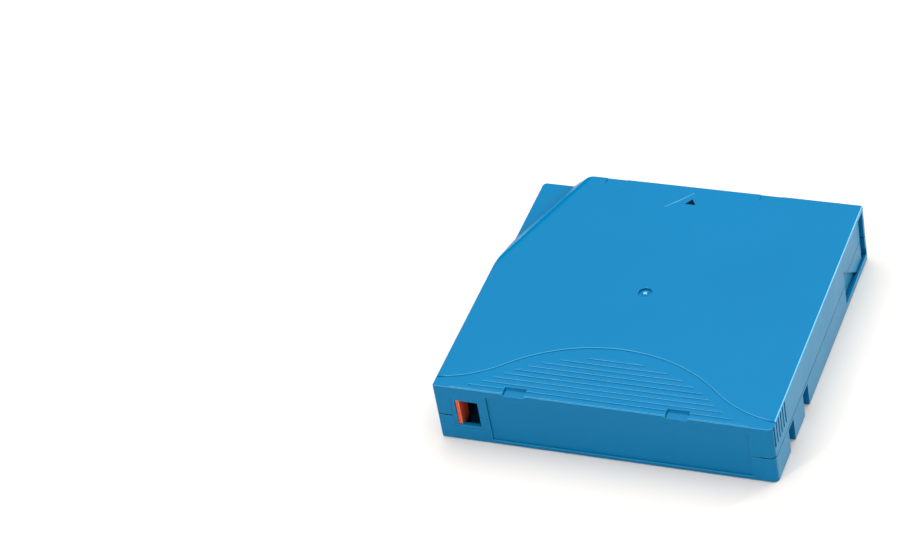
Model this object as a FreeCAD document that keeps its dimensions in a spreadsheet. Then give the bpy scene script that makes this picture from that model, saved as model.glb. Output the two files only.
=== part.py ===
# Data tape cartridge: half-inch tape on one reel, in a two-part moulded case.
# Frame: origin at the centre of the case's underside, +X towards the door side,
# +Y the way the cartridge goes into a drive, +Z up through the arrowed top.
# All sizes are in millimetres and live in the sheet called dim.
import FreeCAD, Part
import math
import os
import Sketcher

SIZES = [
    # outside of the case
    ("case_width", 105.4),
    ("case_length", 102.0),
    ("seam_level", 9.6),
    # upright corners, and the least round inside them
    ("rear_right_round", 2.0),
    ("rear_left_round", 0.4),
    ("front_right_round", 0.5),
    ("front_left_round", 1.5),
    ("inner_round", 0.4),
    ("edge_round", 0.5),
    ("seam_bevel", 0.2),
    ("side_wall", 1.5),
    ("floor_wall", 1.6),
    ("roof_wall", 1.5),
    # lowered front left corner that stops wrong insertion
    ("guide_length", 45.5),
    ("guide_reach", 16.7),
    ("guide_drop", 5.1),
    ("guide_run", 5.8),
    ("guide_round", 4.0),
    # recess for a label on the near face
    ("label_left_inset", 16.5),
    ("label_right_inset", 7.4),
    ("label_low", 1.5),
    ("label_high", 18.8),
    ("label_depth", 0.5),
    # write-protect window, with its shallow frame
    ("window_inset", 6.1),
    ("window_width", 7.4),
    ("window_low", 6.0),
    ("window_high", 15.8),
    ("window_frame", 1.4),
    ("window_frame_depth", 0.15),
    ("tab_show", 1.3),
    ("tab_depth", 4.6),
    ("tab_lap", 1.0),
    ("tab_gap", 0.2),
    ("tab_rail_width", 1.2),
    # bell-shaped grip field on the roof
    ("grip_depth", 0.3),
    ("grip_crest_inset", 25.1),
    ("grip_crest_round", 49.9),
    ("grip_foot_round", 35.2),
    ("grip_turn", 41.8),
    ("grip_shift", -0.86),
    ("ridge_pitch", 2.15),
    ("ridge_width", 0.7),
    ("ridge_rise", 0.25),
    ("ridge_count", 10),
    ("ridge_first", 0.55),
    ("ridge_margin", 4.7),
    # notches in the roof's near and far edges
    ("nick_left", 30.4),
    ("nick_right", 20.2),
    ("nick_width", 6.9),
    ("nick_reach", 3.0),
    ("nick_depth", 1.0),
    ("far_nick_depth", 0.4),
    # insertion arrow, sunk by a hair
    ("arrow_tip", 6.3),
    ("arrow_side", 3.0),
    ("arrow_height", 2.2),
    ("arrow_depth", 0.1),
    ("arrow_shift", -0.4),
    # dimple in the roof over the reel
    ("dimple_radius", 2.2),
    ("dimple_pip_radius", 1.3),
    ("dimple_pip_crown", 0.6),
    ("dimple_pip_sunk", 0.1),
    ("dimple_depth", 0.7),
    # finger grooves at the rear of both sides
    ("groove_count", 6),
    ("groove_pitch", 2.15),
    ("groove_first", 1.9),
    ("groove_width", 1.0),
    ("groove_depth", 0.5),
    ("groove_low", 12.9),
    # handling notches in both sides of the lower shell
    ("notch_a", 13.6),
    ("notch_b", 29.0),
    ("notch_width", 5.2),
    ("notch_depth", 4.4),
    ("notch_height", 8.6),
    ("notch_wall", 1.0),
    # door opening in the right side
    ("door_start_inset", 24.8),
    ("door_end_inset", 1.85),
    ("front_wall", 1.6),
    ("door_slot_low", 2.3),
    ("corner_slot_high", 5.2),
    ("corner_slot_skin", 0.8),
    ("corner_slot_reach", 4.5),
    ("door_thick", 1.3),
    ("door_lap", 1.5),
    ("door_travel", 15.0),
    ("door_gap", 0.2),
    ("door_wall", 0.8),
    ("door_bend", 1.6),
    ("door_hook", 3.4),
    ("door_scoop_high", 15.2),
    ("door_scoop_end", 15.6),
    ("door_scoop_depth", 0.8),
    ("lug_inset", 0.5),
    ("lug_width", 1.6),
    ("lug_low", 7.5),
    ("lug_height", 5.0),
    # reel
    ("reel_shift", -1.8),
    ("reel_float", 1.0),
    ("roof_clear", 2.0),
    ("flange_clear", 1.9),
    ("flange_thick", 1.2),
    ("hub_radius", 22.0),
    ("hub_wall", 2.0),
    ("upper_flange_thick", 1.0),
    ("web_recess", 0.3),
    ("web_thick", 2.1),
    ("tape_width", 12.65),
    ("tape_margin", 1.9),
    ("tape_clear", 0.2),
    ("tape_clear_above", 0.35),
    # drive teeth under the hub, brake teeth on its web
    ("tooth_count", 24),
    ("drive_tooth_length", 3.4),
    ("tooth_width", 1.7),
    ("tooth_rise", 0.9),
    ("brake_tooth_length", 2.6),
    ("port_clear", 1.2),
    ("port_rim_width", 1.5),
    ("port_rim_step", 1.0),
    ("rest_gap", 0.3),
    ("clutch_clear", 1.9),
    ("clutch_bore", 3.5),
    ("clutch_thick", 0.6),
    # brake and release pad
    ("brake_clear", 0.5),
    ("brake_rim", 0.3),
    ("brake_thick", 1.8),
    ("brake_travel", 1.6),
    ("mesh_gap", 0.15),
    ("sleeve_radius", 5.5),
    ("sleeve_height", 6.0),
    ("key_width", 1.6),
    ("key_length", 6.6),
    ("key_gap", 0.2),
    ("arm_length", 2.6),
    ("pad_thick", 0.9),
    ("pad_gap", 0.1),
    ("leg_margin", 0.25),
    ("leg_width", 2.6),
    ("leg_length", 3.0),
    ("leg_gap", 0.25),
    ("leg_count", 3),
    ("brake_spring_radius", 6.8),
    ("brake_spring_wire", 0.8),
    ("brake_spring_turns", 5),
    ("seat_ring_width", 0.8),
    ("seat_ring_height", 1.0),
    # leader pin and what holds it
    ("pin_side_inset", 7.2),
    ("pin_front_inset", 11.5),
    ("pin_radius", 1.25),
    ("pin_head_radius", 1.9),
    ("pin_head_height", 1.0),
    ("cup_wall", 1.0),
    ("cup_height", 1.4),
    ("clamp_wall", 0.5),
    ("leader_thick", 0.2),
    ("clip_wire", 0.9),
    ("clip_reach", 7.0),
    ("clip_bend", 1.5),
    # door spring
    ("door_spring_radius", 1.2),
    ("door_spring_wire", 0.5),
    ("door_spring_turns", 10),
    ("spring_post_gap", 0.9),
    # screws
    ("screw_rear_inset", 12.5),
    ("screw_side_inset", 10.2),
    ("screw_front_inset", 6.0),
    ("screw_left_inset", 8.2),
    ("screw_right_inset", 16.7),
    ("screw_radius", 1.0),
    ("screw_head_radius", 1.9),
    ("screw_head_height", 1.4),
    ("screw_head_level", 5.0),
    ("screw_length", 9.6),
    ("screw_slack", 0.2),
    ("boss_radius", 2.9),
    # contactless memory
    ("board_side_inset", 19.7),
    ("board_width", 14.0),
    ("board_height", 8.0),
    ("board_thick", 0.8),
    ("board_rear_inset", 2.6),
    ("board_lean", 45.0),
    ("chip_side", 2.4),
    ("chip_rise", 0.5),
    ("rest_rib_width", 1.2),
    # how far a fused piece is sunk into its neighbour, and a cutting tool runs past the work
    ("sink", 0.1),
    ("spare", 1.0),
]

doc = FreeCAD.newDocument("DataTapeCartridge")
dim = doc.addObject("Spreadsheet::Sheet", "dim")
for row, (alias, number) in enumerate(SIZES, start=1):
    dim.set("A%d" % row, alias)
    dim.set("B%d" % row, str(number))
    dim.setAlias("B%d" % row, alias)
doc.recompute()

X_AXIS = FreeCAD.Vector(1, 0, 0)
Y_AXIS = FreeCAD.Vector(0, 1, 0)
Z_AXIS = FreeCAD.Vector(0, 0, 1)


def number(expression):
    """The value that an expression over the sheet has now."""
    return float(dim.evalExpression(expression))


def place(thing, x="0", y="0", z="0", turn=None):
    """Bind an object's placement: its base, and its turn about Z in degrees."""
    for axis, expression in (("x", x), ("y", y), ("z", z)):
        thing.setExpression("Placement.Base." + axis, expression)
    if turn is not None:
        thing.Placement = FreeCAD.Placement(thing.Placement.Base, FreeCAD.Rotation(Z_AXIS, 1))
        thing.setExpression("Placement.Rotation.Angle", turn)
    return thing


def block(name, x_low, x_high, y_low, y_high, z_low, z_high):
    """A box between two corners."""
    box = doc.addObject("Part::Box", name)
    box.setExpression("Length", "(%s) - (%s)" % (x_high, x_low))
    box.setExpression("Width", "(%s) - (%s)" % (y_high, y_low))
    box.setExpression("Height", "(%s) - (%s)" % (z_high, z_low))
    return place(box, x_low, y_low, z_low)


def round_bar(name, radius, z_low, z_high, x="0", y="0"):
    """An upright cylinder."""
    bar = doc.addObject("Part::Cylinder", name)
    bar.setExpression("Radius", radius)
    bar.setExpression("Height", "(%s) - (%s)" % (z_high, z_low))
    return place(bar, x, y, z_low)


def fuse(name, pieces):
    if len(pieces) == 1:
        return pieces[0]
    union = doc.addObject("Part::MultiFuse", name)
    union.Shapes = pieces
    return union


def cut(name, base, tools):
    result = doc.addObject("Part::Cut", name)
    result.Base = base
    result.Tool = fuse(name + "_tools", tools)
    return result


def tube(name, outer, inner, z_low, z_high, x="0", y="0"):
    """An upright ring with a round hole through it."""
    wall = round_bar(name + "_wall", outer, z_low, z_high, x, y)
    hole = round_bar(name + "_hole", inner, "(%s) - dim.spare" % z_low,
                     "(%s) + dim.spare" % z_high, x, y)
    return cut(name, wall, [hole])


def common(name, base, tool):
    result = doc.addObject("Part::Common", name)
    result.Base = base
    result.Tool = tool
    return result


def fix_corners(sketch, corners):
    """Draw a closed outline of straight sides and bind every corner to the sheet."""
    points = [FreeCAD.Vector(number(u), number(v), 0) for u, v in corners]
    first = sketch.GeometryCount
    count = len(points)
    for k in range(count):
        sketch.addGeometry(Part.LineSegment(points[k], points[(k + 1) % count]), False)
    for k in range(count):
        after = first + (k + 1) % count
        sketch.addConstraint(Sketcher.Constraint("Coincident", first + k, 2, after, 1))
    for k, (u, v) in enumerate(corners):
        for kind, value, expression in (("DistanceX", points[k].x, u), ("DistanceY", points[k].y, v)):
            index = sketch.addConstraint(Sketcher.Constraint(kind, -1, 1, first + k, 1, value))
            sketch.setExpression("Constraints[%d]" % index, expression)
    return sketch


def fix_circle(sketch, radius, u="0", v="0"):
    """Draw a circle and bind its centre and radius to the sheet."""
    centre = FreeCAD.Vector(number(u), number(v), 0)
    ring = sketch.addGeometry(Part.Circle(centre, Z_AXIS, number(radius)), False)
    for kind, value, expression in (("DistanceX", centre.x, u), ("DistanceY", centre.y, v)):
        index = sketch.addConstraint(Sketcher.Constraint(kind, -1, 1, ring, 3, value))
        sketch.setExpression("Constraints[%d]" % index, expression)
    index = sketch.addConstraint(Sketcher.Constraint("Radius", ring, number(radius)))
    sketch.setExpression("Constraints[%d]" % index, radius)
    return sketch


def new_body(name, x="0", y="0", z="0"):
    body = doc.addObject("PartDesign::Body", name)
    return place(body, x, y, z)


def body_sketch(body, name, role="XY_Plane", lift="0", lean=None, lean_z=None):
    """A sketch on one of the body's own origin planes, moved along its normal by lift.

    lean turns it about its own upright axis, and lean_z about its normal.
    """
    sketch = body.newObject("Sketcher::SketchObject", name)
    plane = next(item for item in body.Origin.OriginFeatures if item.Role == role)
    sketch.AttachmentSupport = (plane, [""])
    sketch.MapMode = "FlatFace"
    for axis, turn in ((Y_AXIS, lean), (Z_AXIS, lean_z)):
        if turn is not None:
            start = FreeCAD.Rotation(axis, 1)
            sketch.AttachmentOffset = FreeCAD.Placement(FreeCAD.Vector(0, 0, 0), start)
            sketch.setExpression("AttachmentOffset.Rotation.Angle", turn)
    sketch.setExpression("AttachmentOffset.Base.z", lift)
    return sketch


def feature(body, kind, name, sketch, **sizes):
    """A sketch-based feature; sizes are expressions for its properties."""
    item = body.newObject("PartDesign::" + kind, name)
    item.Profile = sketch
    for key, expression in sizes.items():
        item.setExpression(key, expression)
    return item


def spin(body, name, sketch, kind="Revolution"):
    """A full turn of a sketch about its own vertical axis."""
    item = body.newObject("PartDesign::" + kind, name)
    item.Profile = sketch
    item.ReferenceAxis = (sketch, ["V_Axis"])
    item.Angle = 360
    return item


def around(body, name, original, count):
    """Copies of a feature round the body's own Z axis."""
    pattern = body.newObject("PartDesign::PolarPattern", name)
    pattern.Originals = [original]
    axis = next(item for item in body.Origin.OriginFeatures if item.Role == "Z_Axis")
    pattern.Axis = (axis, [""])
    pattern.Angle = 360
    pattern.setExpression("Occurrences", count)
    body.Tip = pattern
    return pattern


def dress(body, kind, name, edges, key, expression):
    """A fillet or chamfer on named edges of the body's present shape."""
    base = body.Tip
    item = body.newObject("PartDesign::" + kind, name)
    item.Base = (base, edges)
    item.setExpression(key, expression)
    return item


# ---- places worked out from the sizes ------------------------------------------

HALF_WIDTH = "(dim.case_width / 2)"
HALF_LENGTH = "(dim.case_length / 2)"
INNER_X = "(dim.case_width / 2 - dim.side_wall)"
INNER_Y = "(dim.case_length / 2 - dim.side_wall)"
SEAM = "dim.seam_level"
FLOOR = "dim.floor_wall"
REEL_X = "dim.reel_shift"

# the reel, from the floor up and from its rim inwards
REEL_LOW = "(%s + dim.reel_float)" % FLOOR
FLANGE_TOP = "(%s + dim.flange_thick)" % REEL_LOW
TAPE_LOW = "(%s + dim.tape_clear)" % FLANGE_TOP
TAPE_HIGH = "(%s + dim.tape_width)" % TAPE_LOW
HUB_TOP = "(%s + dim.tape_clear_above)" % TAPE_HIGH
FLANGE_RADIUS = "(min(%s + %s; %s) - dim.flange_clear)" % (INNER_X, REEL_X, INNER_Y)
TAPE_RADIUS = "(%s - dim.tape_margin)" % FLANGE_RADIUS
HUB_BORE = "(dim.hub_radius - dim.hub_wall)"
BRAKE_RADIUS = "(%s - dim.brake_clear)" % HUB_BORE
BRAKE_TOOTH_OUTER = "(%s - dim.brake_rim)" % BRAKE_RADIUS
BRAKE_TOOTH_INNER = "(%s - dim.brake_tooth_length)" % BRAKE_TOOTH_OUTER
LEG_CENTRE = "(%s - dim.leg_margin - dim.leg_gap - dim.leg_length / 2)" % BRAKE_TOOTH_INNER
DRIVE_TOOTH_INNER = "(%s - dim.drive_tooth_length / 2)" % LEG_CENTRE
DRIVE_TOOTH_OUTER = "(%s + dim.drive_tooth_length / 2)" % LEG_CENTRE
PORT_RADIUS = "(%s + dim.port_clear)" % DRIVE_TOOTH_OUTER
CLUTCH_RADIUS = "(%s - dim.clutch_clear)" % DRIVE_TOOTH_INNER
PAD_RADIUS = "(%s - dim.leg_length / 2 - dim.arm_length)" % LEG_CENTRE

# hub web, release pad and brake
WEB_LOW = "(%s + dim.web_recess)" % REEL_LOW
WEB_TOP = "(%s + dim.web_thick)" % WEB_LOW
LEG_TIP = "(%s - dim.tooth_rise + dim.pad_gap)" % WEB_LOW
BRAKE_LOW = "(%s + dim.tooth_rise + dim.mesh_gap)" % WEB_TOP
SLOT_FLOOR = "(%s + dim.brake_thick)" % BRAKE_LOW

# the roof stands clear of the reel
ROOF = "(%s + dim.upper_flange_thick + dim.roof_clear)" % HUB_TOP
TOP = "(%s + dim.roof_wall)" % ROOF

# the lowered corner: its slope starts on a line across the corner
GUIDE_ANGLE = "atan(dim.guide_reach / dim.guide_length)"
GUIDE_START = "(%s - dim.guide_length)" % HALF_LENGTH
GUIDE_LINE = "(-%s * cos(%s) - %s * sin(%s))" % (HALF_WIDTH, GUIDE_ANGLE, GUIDE_START, GUIDE_ANGLE)
GUIDE_WALL = "dim.roof_wall * sqrt(dim.guide_run ^ 2 + dim.guide_drop ^ 2) / dim.guide_drop"

# label recess, window and write-protect slide on the near face
LABEL_LEFT = "(dim.label_left_inset - %s)" % HALF_WIDTH
LABEL_RIGHT = "(%s - dim.label_right_inset)" % HALF_WIDTH
WINDOW_LEFT = "(dim.window_inset - %s)" % HALF_WIDTH
WINDOW_RIGHT = "(%s + dim.window_width)" % WINDOW_LEFT
TAB_FRONT = "(-%s + dim.tab_gap)" % INNER_Y
TAB_BACK = "(%s + dim.tab_depth)" % TAB_FRONT
TAB_LOW = "(dim.window_low - dim.tab_lap)"
TAB_HIGH = "(dim.window_high + dim.tab_lap)"

# door, its rails and its spring
DOOR_START = "(%s - dim.door_start_inset)" % HALF_LENGTH
DOOR_END = "(%s - dim.door_end_inset)" % HALF_LENGTH
DOOR_FRAME_END = "(%s - dim.front_wall)" % HALF_LENGTH
DOOR_OUT = "(%s - dim.door_wall - dim.door_gap)" % HALF_WIDTH
DOOR_IN = "(%s - dim.door_thick)" % DOOR_OUT
DOOR_BACK = "(%s - dim.door_lap)" % DOOR_START
RAIL_OUT = "(%s - dim.door_gap)" % DOOR_IN
RAIL_IN = "(%s - dim.rest_rib_width)" % RAIL_OUT
RAIL_BACK = "(%s - dim.door_travel)" % DOOR_BACK
RAIL_END = "(%s - dim.door_bend - dim.door_travel - dim.door_gap)" % DOOR_END
DOOR_LOW = "(%s + dim.door_gap)" % FLOOR
SPRING_AXIS = "(%s - dim.door_spring_radius - dim.door_spring_wire / 2 - dim.rest_gap)" % DOOR_IN
SPRING_NEAR = "(%s + dim.lug_inset)" % DOOR_BACK
SPRING_FAR = ("(dim.notch_b + dim.notch_width + dim.notch_wall + dim.lug_width"
              " + dim.spring_post_gap - %s)" % HALF_LENGTH)
SPRING_LEVEL = "(dim.lug_low + dim.lug_height / 2)"

# leader pin, screws and memory board
PIN_X = "(%s - dim.pin_side_inset)" % HALF_WIDTH
PIN_Y = "(%s - dim.pin_front_inset)" % HALF_LENGTH
REAR_SCREW_Y = "(dim.screw_rear_inset - %s)" % HALF_LENGTH
FRONT_SCREW_Y = "(%s - dim.screw_front_inset)" % HALF_LENGTH
SCREW_PLACES = [
    ("rear_left", "(dim.screw_side_inset - %s)" % HALF_WIDTH, REAR_SCREW_Y),
    ("rear_right", "(%s - dim.screw_side_inset)" % HALF_WIDTH, REAR_SCREW_Y),
    ("front_left", "(dim.screw_left_inset - %s)" % HALF_WIDTH, FRONT_SCREW_Y),
    ("front_right", "(%s - dim.screw_right_inset)" % HALF_WIDTH, FRONT_SCREW_Y),
]
HEAD_TOP = "(dim.screw_head_level + dim.screw_head_height)"
SCREW_TIP = "(dim.screw_head_level + dim.screw_length)"
BOARD_X = "(%s - dim.board_side_inset)" % HALF_WIDTH
BOARD_BACK = "(dim.board_rear_inset + dim.board_thick * sin(dim.board_lean) - %s)" % HALF_LENGTH


# ---- case -----------------------------------------------------------------

CLOSE = 0.01    # two places nearer than this are the same


def is_upright(edge):
    if len(edge.Vertexes) != 2:
        return False
    low, high = [vertex.Point for vertex in edge.Vertexes]
    return abs(low.x - high.x) < CLOSE and abs(low.y - high.y) < CLOSE


def pick(shape, test):
    """Names of the edges that pass a test."""
    return ["Edge%d" % k for k, edge in enumerate(shape.Edges, start=1) if test(edge)]


def middle_of(edge):
    return edge.valueAt((edge.FirstParameter + edge.LastParameter) / 2)


# upright corners of the case: size, side (+1 right) and end (+1 front)
CORNER_ROUNDS = [("rear_right", 1, -1), ("rear_left", -1, -1), ("front_right", 1, 1),
                 ("front_left", -1, 1)]


def outline_body(name, inset, low, high):
    """The case's outline between two levels, with rounded upright corners."""
    body = new_body(name)
    across = "(%s - %s)" % (HALF_WIDTH, inset)
    along = "(%s - %s)" % (HALF_LENGTH, inset)
    corners = [("-" + across, "-" + along), (across, "-" + along),
               (across, along), ("-" + across, along)]
    sketch = fix_corners(body_sketch(body, name + "_outline", lift=low), corners)
    feature(body, "Pad", name + "_pad", sketch, Length="(%s) - (%s)" % (high, low))
    doc.recompute()
    for label, side, end in CORNER_ROUNDS:
        def here(edge):
            point = middle_of(edge)
            return is_upright(edge) and point.x * side > 0 and point.y * end > 0

        radius = "max(dim.%s_round - (%s); dim.inner_round)" % (label, inset)
        dress(body, "Fillet", "%s_%s" % (name, label), pick(body.Shape, here), "Radius", radius)
        doc.recompute()
    return body


def slope_guide(body, name, line, high, drop):
    """Lower the roof over the front left corner, with a slope along its inner side."""
    sketch = body_sketch(body, name + "_profile", "XZ_Plane", lean="-" + GUIDE_ANGLE)
    low = "(%s - (%s))" % (high, drop)
    foot = "(%s - dim.guide_run)" % line
    above = "(%s + dim.roof_wall)" % high
    away = "(%s - dim.case_width)" % line
    fix_corners(sketch, [(line, above), (line, high), (foot, low), (away, low), (away, above)])
    pocket = feature(body, "Pocket", name + "_cut", sketch)
    pocket.Type = "ThroughAll"
    pocket.Midplane = True
    doc.recompute()


def upper_blank():
    body = outline_body("upper_blank", "0", SEAM, TOP)
    slope_guide(body, "guide", GUIDE_LINE, TOP, "dim.guide_drop")
    angle = math.radians(number(GUIDE_ANGLE))
    line = number(GUIDE_LINE)
    lowered = number(TOP) - number("dim.guide_drop")

    def across(point):
        return point.x * math.cos(angle) - point.y * math.sin(angle)

    def along_guide(edge):
        ends = [across(vertex.Point) for vertex in edge.Vertexes]
        return not is_upright(edge) and abs(ends[0] - ends[-1]) < CLOSE

    def crest(edge):
        return along_guide(edge) and abs(across(middle_of(edge)) - line) < CLOSE

    def eased(edge):
        return middle_of(edge).z > lowered - CLOSE and not along_guide(edge) and not is_upright(edge)

    dress(body, "Fillet", "guide_blend", pick(body.Shape, crest), "Radius", "dim.guide_round")
    doc.recompute()
    dress(body, "Fillet", "upper_rim", pick(body.Shape, eased), "Radius", "dim.edge_round")
    doc.recompute()
    return body


def lower_blank():
    body = outline_body("lower_blank", "0", "0", SEAM)

    def under(edge):
        return all(abs(vertex.Point.z) < CLOSE for vertex in edge.Vertexes)

    dress(body, "Fillet", "lower_rim", pick(body.Shape, under), "Radius", "dim.edge_round")
    doc.recompute()
    return body


def seam_groove(name):
    """The fine groove that shows all round where the two shells meet."""
    band = outline_body(name + "_band", "-dim.spare", SEAM + " - dim.seam_bevel",
                        SEAM + " + dim.seam_bevel")
    core = outline_body(name + "_core", "dim.seam_bevel", "0", TOP)
    return cut(name, band, [core])


def wall_mark(name, side, y_low, y_high, z_low, z_high, depth):
    """A box that is sunk into the right wall (side 1) or the left wall (side -1)."""
    inside = "%s - (%s)" % (HALF_WIDTH, depth)
    outside = HALF_WIDTH + " + dim.spare"
    if side > 0:
        return block(name, inside, outside, y_low, y_high, z_low, z_high)
    return block(name, "-(%s)" % outside, "-(%s)" % inside, y_low, y_high, z_low, z_high)


def near_mark(name, x_low, x_high, z_low, z_high, depth):
    """A box that is sunk into the near face."""
    return block(name, x_low, x_high, "-%s - dim.spare" % HALF_LENGTH, "-%s + %s" % (HALF_LENGTH, depth),
                 z_low, z_high)


def near_marks(prefix, low_limit, high_limit):
    """Label recess, window frame and window, each kept to one shell's levels."""
    if low_limit is None:
        levels = [("dim.label_low", high_limit), ("dim.window_low - dim.window_frame", high_limit),
                  ("dim.window_low", high_limit)]
    else:
        levels = [(low_limit, "dim.label_high"), (low_limit, "dim.window_high + dim.window_frame"),
                  (low_limit, "dim.window_high")]
    label, frame, hole = levels
    return [
        near_mark(prefix + "_label", LABEL_LEFT, LABEL_RIGHT, label[0], label[1],
                  "dim.label_depth"),
        near_mark(prefix + "_frame", WINDOW_LEFT + " - dim.window_frame",
                  WINDOW_RIGHT + " + dim.window_frame", frame[0], frame[1], "dim.window_frame_depth"),
        near_mark(prefix + "_window", WINDOW_LEFT, WINDOW_RIGHT, hole[0], hole[1],
                  "dim.side_wall + dim.spare"),
    ]


def grip_field(name, back):
    """The bell-shaped field that is sunk a little into the roof, moved back by an expression."""
    turn = math.radians(number("dim.grip_turn"))
    big = number("dim.grip_crest_round")
    small = number("dim.grip_foot_round")
    middle = number("dim.grip_shift")
    crest = number("dim.grip_crest_inset") - number(HALF_LENGTH)
    beyond = -number("dim.case_length")
    join_x = big * math.sin(turn)
    join_y = crest - big * (1 - math.cos(turn))
    foot_x = join_x + small * math.sin(turn)
    foot_y = join_y - small * (1 - math.cos(turn))
    bend_x = foot_x - small * math.sin(turn / 2)
    bend_y = foot_y + small * (1 - math.cos(turn / 2))

    def point(x, y):
        return FreeCAD.Vector(middle + x, y, 0)

    arcs = [
        Part.Arc(point(-foot_x, foot_y), point(-bend_x, bend_y), point(-join_x, join_y)),
        Part.Arc(point(-join_x, join_y), point(0, crest), point(join_x, join_y)),
        Part.Arc(point(join_x, join_y), point(bend_x, bend_y), point(foot_x, foot_y)),
    ]
    rim = [point(foot_x, foot_y), point(foot_x, beyond), point(-foot_x, beyond), point(-foot_x, foot_y)]
    edges = [arc.toShape() for arc in arcs]
    edges += [Part.LineSegment(a, b).toShape() for a, b in zip(rim, rim[1:])]
    field = doc.addObject("Part::Feature", name)
    height = number("dim.grip_depth + dim.spare")
    field.Shape = Part.Face(Part.Wire(edges)).extrude(FreeCAD.Vector(0, 0, height))
    return place(field, y="-(%s)" % back, z=TOP + " - dim.grip_depth")


def grip_ridges():
    """Straight ridges across the grip field, which end along a line like the field's own."""
    base = "(%s - dim.grip_depth)" % TOP
    bars = []
    for k in range(int(number("dim.ridge_count"))):
        start = "-%s + dim.ridge_first + %d * dim.ridge_pitch - dim.ridge_width / 2" % (HALF_LENGTH, k)
        bars.append(block("ridge_%d" % (k + 1), "-" + HALF_WIDTH, HALF_WIDTH, start,
                          start + " + dim.ridge_width", base, base + " + dim.ridge_rise"))
    return common("grip_ridges", fuse("ridge_bars", bars), grip_field("ridge_field", "dim.ridge_margin"))


def roof_nicks():
    """Shallow notches in the roof's near and far edges."""
    nicks = []
    above = TOP + " + dim.spare"
    for label, start in (("left", "-dim.nick_left"), ("right", "dim.nick_right")):
        end = start + " + dim.nick_width"
        nicks.append(block("near_nick_" + label, start, end, "-%s - dim.spare" % HALF_LENGTH,
                           "-%s + dim.nick_reach" % HALF_LENGTH, TOP + " - dim.nick_depth", above))
        nicks.append(block("far_nick_" + label, start, end, "%s - dim.nick_reach" % HALF_LENGTH,
                           HALF_LENGTH + " + dim.spare", TOP + " - dim.far_nick_depth", above))
    return nicks


def arrow_mark():
    """The insertion arrow near the front edge, sunk by a hair."""
    body = new_body("arrow_mark", "dim.arrow_shift", HALF_LENGTH + " - dim.arrow_tip", TOP)
    sketch = body_sketch(body, "arrow_outline", lift="-dim.arrow_depth")
    fix_corners(sketch, [("0", "0"), ("-dim.arrow_side / 2", "-dim.arrow_height"),
                         ("dim.arrow_side / 2", "-dim.arrow_height")])
    feature(body, "Pad", "arrow_pad", sketch, Length="dim.arrow_depth + dim.spare")
    return body


def side_grooves():
    """Upright finger grooves at the rear end of both sides."""
    grooves = []
    for side, label in ((1, "right"), (-1, "left")):
        for k in range(int(number("dim.groove_count"))):
            middle = "-%s + dim.groove_first + %d * dim.groove_pitch" % (HALF_LENGTH, k)
            grooves.append(wall_mark("groove_%s_%d" % (label, k + 1), side,
                                     middle + " - dim.groove_width / 2", middle + " + dim.groove_width / 2",
                                     "dim.groove_low", TOP + " - dim.edge_round", "dim.groove_depth"))
    return grooves


def door_mouth(prefix, z_low, z_high):
    """The opening in the right side that the door closes."""
    return block(prefix + "_mouth", INNER_X + " - dim.spare", HALF_WIDTH + " + dim.spare", DOOR_START,
                 DOOR_FRAME_END, z_low, z_high)


def door_pocket(prefix, z_low, z_high):
    """The side wall is thinner where the door slides behind it."""
    return block(prefix + "_pocket", INNER_X + " - dim.spare", HALF_WIDTH + " - dim.door_wall",
                 RAIL_BACK + " - dim.spare", DOOR_FRAME_END, z_low, z_high)


def upper_bosses():
    """Bosses that the screws bite into."""
    bosses = []
    for label, x, y in SCREW_PLACES:
        roof = "(%s - dim.guide_drop)" % ROOF if label == "front_left" else ROOF
        post = round_bar("upper_boss_" + label, "dim.boss_radius", SEAM, roof, x, y)
        pilot = round_bar("upper_pilot_" + label, "dim.screw_radius", SEAM + " - dim.spare",
                          SCREW_TIP, x, y)
        bosses.append(cut("upper_screw_post_" + label, post, [pilot]))
    return bosses


def brake_key():
    """Cross-shaped post that hangs from the roof and keeps the brake from turning."""
    low = "(%s + dim.brake_travel + dim.key_gap)" % SLOT_FLOOR
    half = "dim.key_length / 2"
    arm = "dim.key_width / 2"
    bars = [
        block("key_along", "%s - %s" % (REEL_X, arm), "%s + %s" % (REEL_X, arm),
              "-" + half, half, low, ROOF),
        block("key_across", "%s - %s" % (REEL_X, half), "%s + %s" % (REEL_X, half),
              "-" + arm, arm, low, ROOF),
    ]
    return fuse("brake_key", bars)


def spring_seat():
    """Ring on the roof that centres the brake spring."""
    inner = "(dim.brake_spring_radius + dim.brake_spring_wire / 2 + dim.rest_gap)"
    return tube("spring_seat", inner + " + dim.seat_ring_width", inner,
                ROOF + " - dim.seat_ring_height", ROOF, REEL_X)


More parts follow.
